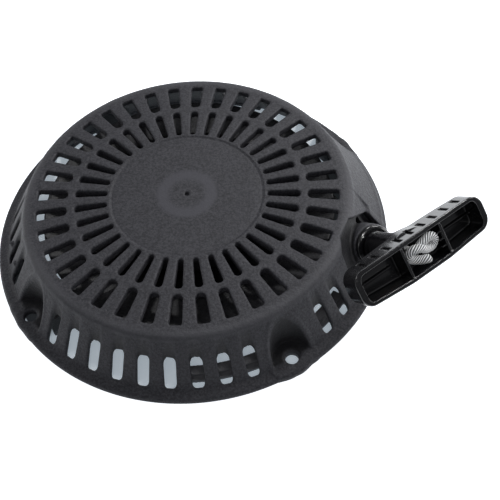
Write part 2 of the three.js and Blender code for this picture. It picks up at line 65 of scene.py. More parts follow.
# ------------------------------------------------------------------ camera
def camera():
    # fitted view: elevation, roll, distance and offsets in units of UNIT, turned into the part's frame
    UNIT, BASE, TURN = 48.64, 0.622, rad(15.56)
    el, roll, dist, tx, ty, focal = rad(53.94), rad(-4.53), 9.51, -0.644, -0.580, 933.0
    right0 = np.array([1.0, 0, 0]); fwd = np.array([0, math.cos(el), -math.sin(el)]); up0 = np.array([0, math.sin(el), math.cos(el)])
    c, s = math.cos(roll), math.sin(roll)
    right, up = c * right0 + s * up0, -s * right0 + c * up0
    at = -tx * right + ty * up - dist * fwd
    turn = np.array([[math.cos(TURN), -math.sin(TURN), 0], [math.sin(TURN), math.cos(TURN), 0], [0, 0, 1]])
    right, up, fwd = turn @ right, turn @ up, turn @ fwd
    at = turn @ (at + np.array([0, 0, BASE])) * UNIT * 0.001
    data = bpy.data.cameras.new("camera")
    data.sensor_fit, data.sensor_width, data.lens = "HORIZONTAL", 36.0, focal / 500 * 36
    data.clip_start, data.clip_end = 0.01, 20
    cam = bpy.data.objects.new("camera", data)
    bpy.context.scene.collection.objects.link(cam)
    cam.matrix_world = Matrix(((right[0], up[0], -fwd[0], at[0]), (right[1], up[1], -fwd[1], at[1]), (right[2], up[2], -fwd[2], at[2]), (0, 0, 0, 1)))
    bpy.context.scene.camera = cam
    return cam


cam = camera()


# ------------------------------------------------------------------ distance-field tools
def smin(a, b, k):
    h = np.maximum(k - np.abs(a - b), 0) / k
    return np.minimum(a, b) - h * h * k * 0.25


def smax(a, b, k):
    return -smin(-a, -b, k)


def sd_poly(px, py, pts):
    """Signed distance to a closed polygon, negative inside."""
    px, py = np.asarray(px, np.float32), np.asarray(py, np.float32)
    best = np.full(px.shape, 1e12, np.float32)
    sign = np.ones(px.shape, np.float32)
    n = len(pts)
    for i in range(n):
        (x0, y0), (x1, y1) = pts[i], pts[i - 1]
        ex, ey = x1 - x0, y1 - y0
        wx, wy = px - x0, py - y0
        t = np.clip((wx * ex + wy * ey) / max(ex * ex + ey * ey, 1e-12), 0, 1)
        bx, by = wx - ex * t, wy - ey * t
        best = np.minimum(best, bx * bx + by * by)
        c1, c2, c3 = py >= y0, py < y1, ex * wy > ey * wx
        flip = (c1 & c2 & c3) | (~c1 & ~c2 & ~c3)
        sign = np.where(flip, -sign, sign)
    return sign * np.sqrt(best)


def box2(u, v, hu, hv, c):
    qu, qv = np.abs(u) - (hu - c), np.abs(v) - (hv - c)
    return np.hypot(np.maximum(qu, 0), np.maximum(qv, 0)) + np.minimum(np.maximum(qu, qv), 0) - c


def surface(slices, xs, ys, zs):
    """Surface nets over a field given slice by slice: slices(k) -> 2D field at zs[k], indexed [x, y]. Returns vertices and quads."""
    h = xs[1] - xs[0]
    F = np.empty((len(zs), len(xs), len(ys)), np.float32)
    for k in range(len(zs)):
        F[k] = slices(k)
    F = F.transpose(1, 2, 0)                       # x, y, z
    F[[0, -1]] = np.maximum(F[[0, -1]], 0.01); F[:, [0, -1]] = np.maximum(F[:, [0, -1]], 0.01); F[:, :, [0, -1]] = np.maximum(F[:, :, [0, -1]], 0.01)
    F = np.ascontiguousarray(F)
    inside = F < 0
    nx, ny, nz = F.shape
    count = np.zeros((nx - 1, ny - 1, nz - 1), np.uint8)
    for dx in (0, 1):
        for dy in (0, 1):
            for dz in (0, 1):
                count += inside[dx:nx - 1 + dx, dy:ny - 1 + dy, dz:nz - 1 + dz]
    cells = np.argwhere((count > 0) & (count < 8))
    ident = np.full(count.shape, -1, np.int32)
    ident[tuple(cells.T)] = np.arange(len(cells))
    corners = [(0, 0, 0), (1, 0, 0), (0, 1, 0), (1, 1, 0), (0, 0, 1), (1, 0, 1), (0, 1, 1), (1, 1, 1)]
    vals = np.stack([F[cells[:, 0] + c[0], cells[:, 1] + c[1], cells[:, 2] + c[2]] for c in corners], 1)
    total = np.zeros((len(cells), 3)); hits = np.zeros(len(cells))
    for a in range(8):
        for b in range(a + 1, 8):
            ca, cb = np.array(corners[a]), np.array(corners[b])
            if np.abs(ca - cb).sum() != 1:
                continue
            va, vb = vals[:, a], vals[:, b]
            cross = (va < 0) != (vb < 0)
            t = np.where(cross, va / np.where(cross, va - vb, 1), 0)
            total += np.where(cross[:, None], ca + (cb - ca) * t[:, None], 0)
            hits += cross
    local = total / hits[:, None]
    # one Newton step with the trilinear gradient, so that flats and edges sit where the field says
    u, v, w = local.T
    V = {c: vals[:, i] for i, c in enumerate(corners)}
    gx = sum((1 if c[0] else -1) * V[c] * (v if c[1] else 1 - v) * (w if c[2] else 1 - w) for c in corners)
    gy = sum((1 if c[1] else -1) * V[c] * (u if c[0] else 1 - u) * (w if c[2] else 1 - w) for c in corners)
    gz = sum((1 if c[2] else -1) * V[c] * (u if c[0] else 1 - u) * (v if c[1] else 1 - v) for c in corners)
    val = sum(V[c] * (u if c[0] else 1 - u) * (v if c[1] else 1 - v) * (w if c[2] else 1 - w) for c in corners)
    g2 = np.maximum(gx * gx + gy * gy + gz * gz, (0.3 * h) ** 2)
    local = np.clip(local - np.stack([gx, gy, gz], 1) * (val / g2)[:, None], -0.05, 1.05)
    verts = (cells + local) * h + np.array([xs[0], ys[0], zs[0]])
    quads = []
    for axis in range(3):
        lo = [slice(None)] * 3; hi = [slice(None)] * 3
        lo[axis] = slice(0, -1); hi[axis] = slice(1, None)
        s0, s1 = inside[tuple(lo)], inside[tuple(hi)]
        at = np.argwhere(s0 != s1)
        o1, o2 = (axis + 1) % 3, (axis + 2) % 3
        at = at[(at[:, o1] > 0) & (at[:, o2] > 0)]
        e1 = np.zeros(3, int); e1[o1] = 1
        e2 = np.zeros(3, int); e2[o2] = 1
        q = np.stack([ident[tuple((at - e1 - e2).T)], ident[tuple((at - e2).T)], ident[tuple(at.T)], ident[tuple((at - e1).T)]], 1)
        out = s0[tuple(at.T)]                      # inside below, outside above: normal along +axis
        q[~out] = q[~out][:, ::-1]
        quads.append(q)
    return verts, np.concatenate(quads)


def make_mesh(name, verts_mm, faces, smooth=True):
    me = bpy.data.meshes.new(name)
    verts = np.asarray(verts_mm, float) * 0.001
    faces = np.asarray(faces, np.int32)
    n = faces.shape[1]
    me.vertices.add(len(verts)); me.vertices.foreach_set("co", verts.ravel())
    me.loops.add(faces.size); me.loops.foreach_set("vertex_index", faces.ravel())
    me.polygons.add(len(faces))
    me.polygons.foreach_set("loop_start", np.arange(0, faces.size, n, dtype=np.int32))
    me.polygons.foreach_set("loop_total", np.full(len(faces), n, np.int32))
    me.update(calc_edges=True)
    me.validate()
    me.polygons.foreach_set("use_smooth", np.full(len(me.polygons), smooth))
    me.update()
    ob = bpy.data.objects.new(name, me)
    bpy.context.scene.collection.objects.link(ob)
    return ob


def applied(ob):
    """Bakes the modifiers into the mesh."""
    bpy.context.view_layer.update()
    dg = bpy.context.evaluated_depsgraph_get()
    me = bpy.data.meshes.new_from_object(ob.evaluated_get(dg))
    ob.modifiers.clear()
    ob.data = me
    return ob


def decimated(ob, ratio):
    m = ob.modifiers.new("decimate", "DECIMATE")
    m.ratio = ratio
    m.use_collapse_triangulate = True
    applied(ob)
    ob.data.polygons.foreach_set("use_smooth", np.full(len(ob.data.polygons), True))
    return ob


def grid(lo, hi, h):
    return np.arange(lo, hi + h, h)


# ------------------------------------------------------------------ shared geometry
EXIT_AZ, EXIT_EL, ROLL = rad(-42.6), rad(42.0), rad(1.6)
GUIDE = np.array([94.2, -5.3, 15.7])
OUT = np.array([math.cos(EXIT_EL) * math.cos(EXIT_AZ), math.cos(EXIT_EL) * math.sin(EXIT_AZ), math.sin(EXIT_EL)])
LEVEL = np.array([-math.sin(EXIT_AZ), math.cos(EXIT_AZ), 0.0])
RISE = np.cross(OUT, LEVEL)
GX = LEVEL * math.cos(ROLL) + RISE * math.sin(ROLL)
GY = np.cross(OUT, GX)
ROPE_Z, ROPE_R, WIND_R = 12.5, 2.3, 67.2
BEND = GUIDE + OUT * ((ROPE_Z - GUIDE[2]) / OUT[2])
_gd, _ga = math.hypot(BEND[0], BEND[1]), math.atan2(BEND[1], BEND[0])
_ta = _ga + math.acos(WIND_R / _gd)
TANGENT = np.array([WIND_R * math.cos(_ta), WIND_R * math.sin(_ta), ROPE_Z])
RUN = (BEND - TANGENT) / np.linalg.norm(BEND - TANGENT)
EARS = [46, 134, -134, -46]
SHIFT = 1.5


def to_world(P):
    P = np.asarray(P, float)
    return GUIDE + P[..., 0:1] * GX + P[..., 1:2] * GY + P[..., 2:3] * OUT


# ------------------------------------------------------------------ housing
def housing():
    h = 0.5
    xs = ys = grid(-103, 103, h)
    zs = grid(-2 * h, 31.5 + h, h) + h * 0.37
    X, Y = np.meshgrid(xs, ys, indexing="ij")
    X, Y = X.astype(np.float32), Y.astype(np.float32)
    R, A = np.hypot(X, Y), np.degrees(np.arctan2(Y, X))
    outer_pts = [(-5, 0), (100.1, 0), (100.5, 0.35), (100.4, 1.3), (99.9, 2.2), (99.2, 2.7), (96.2, 3.1), (95.1, 3.6), (94.4, 4.7),
                 (82.75, 26.2), (82.1, 27.2), (81.2, 28.0), (80.0, 28.5), (77.5, 28.85), (73, 29.15), (66, 29.6), (58, 30.02), (50, 30.2), (42, 30.24),
                 (38.5, 30.22), (38.2, 29.75), (37.7, 29.72), (37.35, 29.97), (30, 29.97), (0, 29.93), (-5, 29.93)]
    hollow_pts = [(-5, -6), (93.9, -6), (93.6, 0), (85.5, 16), (79.6, 25.4), (38.0, 25.4), (38.0, 27.3), (-5, 27.3)]
    recess_pts = [(-5, -20), (110.6, -20), (94.9 - 3.6, 3.2), (82.4 - 3.6, 26.8), (82.4 - 3.6, 60), (-5, 60)]
    rg = np.arange(0, 150, 0.1, dtype=np.float32)
    RG, ZG = np.meshgrid(rg, zs.astype(np.float32), indexing="ij")
    T_out, T_hol = sd_poly(RG, ZG, outer_pts), sd_poly(RG, ZG, hollow_pts)
    panel_pts = [(80.0, 14), (84.5, 3.4), (98.6, 3.4), (97.9, 5.0), (96.2, 6.6), (81.6, 27.2), (80.0, 27.9)]
    T_pan = sd_poly(RG, ZG, panel_pts)
    T_rec = sd_poly(RG, ZG, recess_pts)
    arc_pts = [(82.6, -4), (89.7, -4), (89.7, 2.2), (87.5, 2.2), (87.5, 4.2), (82.6, 4.2)]
    T_arc = sd_poly(RG, ZG, arc_pts)

    # cover slots, in plan
    a10 = (A + 5) % 10 - 5
    u, v = R * np.cos(np.radians(a10)), R * np.sin(np.radians(a10))

    def slot(r0, r1, w0, w1, c0, c1):
        t = np.clip((u - r0) / (r1 - r0), 0, 1)
        w, c = w0 + (w1 - w0) * t, c0 + (c1 - c0) * t
        c = np.minimum(c, w - 0.05)
        return box2(u - (r0 + r1) / 2, v, (r1 - r0) / 2, w, c)
    top_slots = np.minimum(slot(39.9, 56.3, 1.28, 2.05, 1.25, 1.9), slot(59.8, 75.4, 2.45, 3.05, 2.3, 1.0))
    # side slots: plan half-widths along and across each slot's radius, nearest slot only
    side_u = np.full(R.shape, 999, np.float32); side_v = np.full(R.shape, 999, np.float32)
    webs = np.full(R.shape, 99, np.float32)
    for centre, ks in ((-90, range(-4, 5)), (90, range(-4, 5)), (180, range(-4, 5)), (0, (-4, -3))):
        for k in ks:
            d = np.radians((A - (centre + 8 * k) + 180) % 360 - 180)
            near = np.abs(d) <= rad(4.0)
            side_u = np.where(near, R * np.cos(d), side_u)
            side_v = np.where(near, np.abs(R * np.sin(d)), side_v)
    for deg in (-78, -70, -62, -36, -28, -20):
        d = np.radians(A - deg)
        webs = np.minimum(webs, np.where(np.abs(d) < 0.2, box2(R * np.cos(d) - 89.5, R * np.sin(d), 5.4, 1.1, 0.3), 99))
    blades = np.full(R.shape, 99, np.float32)
    for deg, mid in ((-124.5, 85.0), (-151, 87.0), (-159, 87.5)):
        d = np.radians(A - deg)
        blades = np.minimum(blades, np.where(np.abs(d) < 0.2, box2(R * np.cos(d) - mid, R * np.sin(d), 4.6, 0.9, 0.3), 99))

    def wedge(a0, a1):
        return np.maximum(R * np.sin(np.radians(np.clip(a0 - A, -90, 90))), R * np.sin(np.radians(np.clip(A - a1, -90, 90))))
    baffle_zone = np.minimum(wedge(-79, -55), wedge(-37, -19)).astype(np.float32)
    ledge_zone = wedge(79, 152).astype(np.float32)
    ears = [(94.5 * math.cos(rad(a)), 94.5 * math.sin(rad(a)), 93.5 * math.cos(rad(a)), 93.5 * math.sin(rad(a))) for a in EARS]
    ear = [(np.hypot(X - e[0], Y - e[1]), np.hypot(X - e[2], Y - e[3])) for e in ears]
    upper_side = R * np.sin(np.radians(np.clip(A - 40, -90, 90)))
    pocket = [(-19.5, -14), (17, -14), (17, -1.5), (11.5, 11.3), (-5, 17.8), (-15.5, 14.2), (-19.5, 8)]
    qx, qy = X - GUIDE[0], Y - GUIDE[1]
    # rope channel behind the guide
    c0, c1 = BEND - RUN * 34, BEND + RUN * 3

    def field(k):
        z = float(zs[k])
        out = np.interp(R, rg, T_out[:, k]).astype(np.float32)
        hol = np.interp(R, rg, T_hol[:, k]).astype(np.float32)
        t = min(max((z - 13.2) / 1.6, 0), 1)
        sector = smax(upper_side, 14.6 + 5.0 * t - Y, 1.0)
        sector = np.where(X < 0, 60, sector)
        pan = np.maximum(np.interp(R, rg, T_pan[:, k]).astype(np.float32), sector)
        env = smin(out, pan, 1.6)
        f = smax(env, -hol, 0.9)
        f = smin(f, np.maximum(np.abs(R - 37.7) - 1.1, 17.7 - z if z < 28 else 9.0), 0.8)
        f = smin(f, np.maximum(R - 7.0, 5.1 - z if z < 28 else 9.0), 1.2)
        for rho, hole in ear:
            f = smin(f, smax(rho - 12.1, env, 0.8), 1.0)
        for i, (rho, hole) in enumerate(ear):
            bump = hole - 6.7 if i < 3 else np.minimum(hole - 8.3, np.hypot(X - 62.4, Y + 70.2) - 7.6)
            f = smin(f, smax(bump, abs(z - 1.35) - 1.3, 0.8), 2.0)
        # guide boss
        qz = z - GUIDE[2]
        n = qx * OUT[0] + qy * OUT[1] + qz * OUT[2]
        gx = qx * GX[0] + qy * GX[1] + qz * GX[2]
        gy = qx * GY[0] + qy * GY[1] + qz * GY[2]
        near = (X > 55) & (np.abs(Y) < 45)
        patch = np.full(X.shape, 50, np.float32)
        patch[near] = sd_poly(gx[near], gy[near], pocket)
        rec = np.interp(R, rg, T_rec[:, k]).astype(np.float32)
        back = np.maximum(np.maximum(patch - 2.6, smax(env, -(rec + 2.8), 0.6)), np.float32(max(z - 26, -z)))
        f = smin(f, back, 0.8)
        f = smax(f, -smax(smax(patch, -rec, 1.6), np.float32(3.2 - z), 0.8), 1.2)
        rr = np.sqrt(np.maximum(qx * qx + qy * qy + qz * qz - n * n, 0))
        boss = smax(rr - 10.7, n + 0.2, 0.8)
        boss = np.maximum(np.maximum(boss, -n - 20), np.maximum(np.maximum(R - 99.4, 74.4 - R), np.float32(-z)))
        f = smin(f, boss, 2.2)
        # cuts
        f = smax(f, -np.maximum(top_slots, 24.2 - z), 0.9)
        r_in = 82.7 + min(max(26.8 - z, 0), 10.6) * 0.30
        side = box2(side_u - (r_in + 94.15) / 2, side_v, (94.15 - r_in) / 2, 2.85, 1.7)
        f = smax(f, -side, 1.1)
        for rho, hole in ear:
            f = smax(f, -np.maximum(rho - (9.9 + max(z - 4, 0) * 0.06), 4.0 - z), 1.4)
            f = smax(f, -(hole - 3.15), 0.5)
            f = smax(f, -np.maximum(hole - 4.3, 3.45 - z), 0.5)
        f = smax(f, -np.maximum(R - 4.3, z - 22.0), 0.4)
        f = smin(f, np.hypot(R - 2.3, z - 29.75) - 0.35, 0.5)
        f = smax(f, -np.maximum(R - 1.15, 28.3 - z), 0.5)
        f = smax(f, -np.maximum(rr - 5.6, -n - 9), 0.4)
        t = np.clip(((X - c0[0]) * (c1 - c0)[0] + (Y - c0[1]) * (c1 - c0)[1]) / np.dot(c1 - c0, c1 - c0), 0, 1)
        d = np.sqrt((X - c0[0] - (c1 - c0)[0] * t) ** 2 + (Y - c0[1] - (c1 - c0)[1] * t) ** 2 + (z - ROPE_Z) ** 2) - 4.2
        f = smax(f, -d, 0.5)
        # inner baffle arcs, seen through the side slots
        b = np.interp(R, rg, T_arc[:, k]).astype(np.float32)
        f = smin(f, np.maximum(b, baffle_zone), 0.4)
        f = smin(f, np.maximum(webs, np.float32(z - 2.2)), 0.4)
        f = smin(f, np.maximum(blades, np.float32(z - 13.0)), 0.4)
        # a low ledge inside the foot of the far wall
        f = smin(f, np.maximum(np.maximum(np.maximum(91.7 - R, R - 95.0), np.float32(z - 2.2)), ledge_zone), 0.4)
        f = np.maximum(f, -z + 0.0)
        return f

    verts, quads = surface(field, xs, ys, zs)
    ob = make_mesh("cover_shell", verts, quads)
    decimated(ob, 0.42)
    return ob


# ------------------------------------------------------------------ handle
def grip():
    h = 0.34
    xs = grid(-40, 43, h); ys = grid(-13, 12, h); zs = grid(1.5, 44, h)
    X, Y = np.meshgrid(xs, ys, indexing="ij")
    x = X - SHIFT
    L, up, low, end, r = 37.7, 9.2, 10.3, 8.6, 6.2

    def corner(cx, cy, a0, a1):
        return [(cx + r * math.cos(rad(a)), cy + r * math.sin(rad(a))) for a in np.linspace(a0, a1, 9)]
    pts = corner(L - r, up - r, 0, 90) + corner(-(L - r), up - r, 90, 180) + corner(-(L - r), -(end - r), 180, 263) + [(-11, -low), (11, -low)] + corner(L - r, -(end - r), 277, 360)
    outline = sd_poly(x, Y, pts)
    inner = smax(outline + 2.1, np.abs(x) - (L - 2.9), 3.0)
    bars = np.full(x.shape, 9.0)
    for i in range(-4, 5):
        bars = np.minimum(bars, box2(x - i * 7, Y - up, 0.9, 1.0, 0.2))
    rib = np.minimum(np.abs(x + 9.8) - 0.7, np.abs(x - 13.2) - 0.7)
    teeth = np.minimum.reduce([box2(x - 11.6, Y - c, 1.3, 0.35, 0.1) for c in (-4.4, -0.8, 2.8)])
    web = np.minimum(np.abs(Y + 0.6) - 0.6, 99)

    def field(k):
        z = float(zs[k])
        back = 29.4 - 2.8 * np.clip(1 - (np.abs(x) / 31) ** 2, 0, 1)
        body = smax(outline, back - z, 1.8)
        body = smax(body, z - 42.0, 0.9)
        # flared neck
        nr = np.interp(z, [3.0, 3.8, 6, 12, 18, 23, 27, 33], [6.9, 7.5, 7.1, 7.2, 7.7, 8.4, 9.0, 9.4])
        rho = np.hypot(X, Y)
        neck = np.maximum(smax(rho - nr, 3.0 - z, 1.0), z - 33)
        # the neck blended into the back of the grip with a smooth fillet
        f = smin(body, neck, 3.2)
        cav = np.maximum(smax(inner, 31.6 - z, 1.0), z - 60)
        cav = smax(cav, -np.maximum(rib, z - 41.2), 0.6)
        cav = smax(cav, -np.maximum(teeth, z - 40.0), 0.4)
        # low stiffening ridge along the floor of the two outer compartments
        cav = smax(cav, -np.maximum(np.maximum(np.abs(Y + 0.5) - 0.5, z - 33.6), 15.5 - np.abs(x - 1.7)), 0.5)
        f = smax(f, -cav, 0.55)
        f = smax(f, -(rho - 3.0), 0.5)
        f = smax(f, -np.maximum(bars, np.maximum(32.4 - z, z - 39.0)), 0.3)
        return f
    verts, quads = surface(field, xs, ys, zs)
    ob = make_mesh("t_grip", to_world(verts), quads)
    decimated(ob, 0.5)
    return ob


# ------------------------------------------------------------------ turned pieces
def turned(name, profile, segments=128, frame_out=False, rounded=0.0):
    """A closed profile of (r, z) points turned about Z; with frame_out, about the rope's exit axis."""
    pts = []
    n = len(profile)
    for i in range(n):
        p, a, b = np.array(profile[i], float), np.array(profile[i - 1], float), np.array(profile[(i + 1) % n], float)
        if rounded and p[0] > 1e-6:
            da, db = a - p, b - p
            la, lb = np.linalg.norm(da), np.linalg.norm(db)
            c = min(rounded, la * 0.42, lb * 0.42)
            s, e = p + da / la * c, p + db / lb * c
            for t in (0, 0.33, 0.67, 1):
                pts.append((1 - t) ** 2 * s + 2 * t * (1 - t) * p + t * t * e)
        else:
            pts.append(p)
    pts = np.array(pts)
    m = len(pts)
    verts, index = [], []
    for i, (r, z) in enumerate(pts):
        if r < 1e-6:
            index.append([len(verts)] * segments); verts.append((0, 0, z))
        else:
            row = []
            for s in range(segments):
                a = 2 * math.pi * s / segments
                row.append(len(verts)); verts.append((r * math.cos(a), r * math.sin(a), z))
            index.append(row)
    faces = []
    for i in range(m):
        j = (i + 1) % m
        if pts[i][0] < 1e-6 and pts[j][0] < 1e-6:
            continue
        for s in range(segments):
            t = (s + 1) % segments
            f = [index[i][s], index[i][t], index[j][t], index[j][s]]
            g = list(dict.fromkeys(f))
            if len(g) > 2:
                faces.append(g)
    verts = np.array(verts, float)
    if frame_out:
        verts = to_world(verts)
    me = bpy.data.meshes.new(name)
    me.from_pydata((verts * 0.001).tolist(), [], faces)
    ob = bpy.data.objects.new(name, me)
    bpy.context.scene.collection.objects.link(ob)
    outward(ob)
    shade(ob, 35)
    return ob


def outward(ob):
    bm = bmesh.new(); bm.from_mesh(ob.data)
    bmesh.ops.recalc_face_normals(bm, faces=bm.faces)
    bm.to_mesh(ob.data); bm.free()


def shade(ob, angle=35):
    ob.data.polygons.foreach_set("use_smooth", np.full(len(ob.data.polygons), True))
    bm = bmesh.new(); bm.from_mesh(ob.data)
    for e in bm.edges:
        e.smooth = len(e.link_faces) != 2 or e.calc_face_angle(0) < rad(angle)
    bm.to_mesh(ob.data); bm.free()


def refined(node, name, width=0.25, segments=2, angle=28):
    """A bevelled copy of a CAD node."""
    src = bpy.data.objects[frame["nodes"][node]] if isinstance(frame["nodes"].get(node), str) else bpy.data.objects[node]
    me = src.data.copy(); me.name = name
    ob = bpy.data.objects.new(name, me)
    bpy.context.scene.collection.objects.link(ob)
    ob.matrix_world = src.matrix_world.copy()
    me.materials.clear()
    bm = bmesh.new(); bm.from_mesh(me)
    bmesh.ops.remove_doubles(bm, verts=bm.verts, dist=1e-7)
    bmesh.ops.dissolve_limit(bm, angle_limit=rad(1.5), verts=bm.verts, edges=bm.edges)
    bm.to_mesh(me); bm.free()
    b = ob.modifiers.new("bevel", "BEVEL")
    b.width, b.segments, b.limit_method, b.angle_limit = width * 0.001, segments, "ANGLE", rad(angle)
    b.use_clamp_overlap = True
    applied(ob)
    shade(ob, 38)
    return ob


# ------------------------------------------------------------------ rope
def rope(name, points, radius, step=0.28, sides=40, pitch=7.2, strands=8, seed_angle=0.0, end_caps=True, fray=0.0):
    """A braided rope along a smooth curve through points (mm)."""
    P = np.asarray(points, float)
    # Catmull-Rom, resampled evenly
    ext = np.vstack([2 * P[0] - P[1], P, 2 * P[-1] - P[-2]])
    fine = []
    for i in range(1, len(ext) - 2):
        for t in np.linspace(0, 1, 60, endpoint=False):
            a, b, c, d = ext[i - 1:i + 3]
            fine.append(0.5 * ((2 * b) + (c - a) * t + (2 * a - 5 * b + 4 * c - d) * t * t + (3 * b - a - 3 * c + d) * t ** 3))
    fine.append(P[-1])
    fine = np.array(fine)
    seg = np.linalg.norm(np.diff(fine, axis=0), axis=1)
    s = np.concatenate([[0], np.cumsum(seg)])
    m = max(8, int(s[-1] / step))
    ss = np.linspace(0, s[-1], m)
    C = np.stack([np.interp(ss, s, fine[:, i]) for i in range(3)], 1)
    T = np.gradient(C, axis=0); T /= np.linalg.norm(T, axis=1)[:, None]
    Nn = np.zeros_like(C)
    ref = np.array([0.31, 0.17, 0.93]); ref -= T[0] * (ref @ T[0]); Nn[0] = ref / np.linalg.norm(ref)
    for i in range(1, m):
        w = Nn[i - 1] - T[i] * (Nn[i - 1] @ T[i])
        Nn[i] = w / np.linalg.norm(w)
    B = np.cross(T, Nn)
    th = np.linspace(0, 2 * np.pi, sides, endpoint=False) + seed_angle
    TH, SS = np.meshgrid(th, ss)
    # helical strands: a coarse lay with fine yarns on it
    lay = strands * (TH + 2 * np.pi * SS / pitch)
    coarse = np.abs(np.cos(lay / 2))
    yarn = np.cos(strands * 2 * (TH + 2 * np.pi * SS / pitch) + 0.6)
    relief = 0.8 * coarse + 0.2 * yarn
    Rr = radius * (0.84 + 0.18 * relief)
    if end_caps:
        for edge in (ss, ss[-1] - ss):
            e = np.clip(edge / (radius * 0.5), 0, 1)
            Rr = Rr * np.sqrt(np.clip(1 - (1 - e) ** 2, 0.02, 1))[:, None]
    V = C[:, None] + (np.cos(TH)[..., None] * Nn[:, None] + np.sin(TH)[..., None] * B[:, None]) * Rr[..., None]
    verts = V.reshape(-1, 3)
    i, j = np.meshgrid(np.arange(m - 1), np.arange(sides), indexing="ij")
    j2 = (j + 1) % sides
    faces = np.stack([i * sides + j, i * sides + j2, (i + 1) * sides + j2, (i + 1) * sides + j], -1).reshape(-1, 4)
    me = bpy.data.meshes.new(name)
    fl = [tuple(f) for f in faces.tolist()]
    fl.append(tuple(range(sides - 1, -1, -1))); fl.append(tuple((m - 1) * sides + q for q in range(sides)))
    me.from_pydata((verts * 0.001).tolist(), [], fl)
    ob = bpy.data.objects.new(name, me)
    bpy.context.scene.collection.objects.link(ob)
    outward(ob)
    me.polygons.foreach_set("use_smooth", np.full(len(me.polygons), True))
    me.attributes.new("relief", "FLOAT", "POINT").data.foreach_set("value", relief.ravel().astype(np.float32))
    return ob


# ------------------------------------------------------------------ materials
def material(name, build):
    m = bpy.data.materials.new(name)
    m.use_nodes = True
    nt = m.node_tree
    nt.nodes.clear()
    out = nt.nodes.new("ShaderNodeOutputMaterial")
    b = nt.nodes.new("ShaderNodeBsdfPrincipled")
    nt.links.new(b.outputs[0], out.inputs[0])
    build(nt, b)
    return m


def N(nt, kind, **values):
    n = nt.nodes.new("ShaderNode" + kind)
    for k, v in values.items():
        if k in n.inputs:
            n.inputs[k].default_value = v
        else:
            setattr(n, k, v)
    return n


def coords(nt):
    return N(nt, "TexCoord").outputs["Object"]


def noise(nt, vector, scale, detail=3.0, rough=0.55, distortion=0.0):
    n = N(nt, "TexNoise")
    n.inputs["Scale"].default_value = scale
    n.inputs["Detail"].default_value = detail
    n.inputs["Roughness"].default_value = rough
    n.inputs["Distortion"].default_value = distortion
    nt.links.new(vector, n.inputs["Vector"])
    return n.outputs["Fac"]


def ramp(nt, fac, stops):
    r = N(nt, "ValToRGB")
    els = r.color_ramp.elements
    while len(els) < len(stops):
        els.new(0.5)
    for e, (p, c) in zip(els, stops):
        e.position = p
        e.color = (*c, 1) if len(c) == 3 else c
    nt.links.new(fac, r.inputs[0])
    return r.outputs[0]


def maths(nt, op, a, b=None, c=None, clamp=False):
    n = N(nt, "Math", operation=op, use_clamp=clamp)
    for i, v in enumerate((a, b, c)):
        if v is None:
            continue
        if isinstance(v, (int, float)):
            n.inputs[i].default_value = v
        else:
            nt.links.new(v, n.inputs[i])
    return n.outputs[0]


def mix(nt, fac, a, b, blend="MIX"):
    n = nt.nodes.new("ShaderNodeMix")
    n.data_type, n.blend_type = "RGBA", blend
    for sock, v in ((n.inputs[0], fac), (n.inputs[6], a), (n.inputs[7], b)):
        if isinstance(v, (int, float)):
            sock.default_value = v
        elif isinstance(v, tuple):
            sock.default_value = (*v, 1) if len(v) == 3 else v
        else:
            nt.links.new(v, sock)
    return n.outputs[2]


def bump(nt, height, strength, distance, normal=None):
    n = N(nt, "Bump")
    n.inputs["Strength"].default_value = strength
    n.inputs["Distance"].default_value = distance
    nt.links.new(height, n.inputs["Height"])
    if normal is not None:
        nt.links.new(normal, n.inputs["Normal"])
    return n.outputs[0]


def radius_of(nt, vector):
    sep = N(nt, "SeparateXYZ"); nt.links.new(vector, sep.inputs[0])
    return maths(nt, "SQRT", maths(nt, "ADD", maths(nt, "MULTIPLY", sep.outputs[0], sep.outputs[0]), maths(nt, "MULTIPLY", sep.outputs[1], sep.outputs[1]))), sep.outputs[2]


def step(nt, value, lo, hi):
    n = N(nt, "MapRange", clamp=True)
    n.inputs["From Min"].default_value, n.inputs["From Max"].default_value = lo, hi
    nt.links.new(value, n.inputs["Value"])
    return n.outputs["Result"]


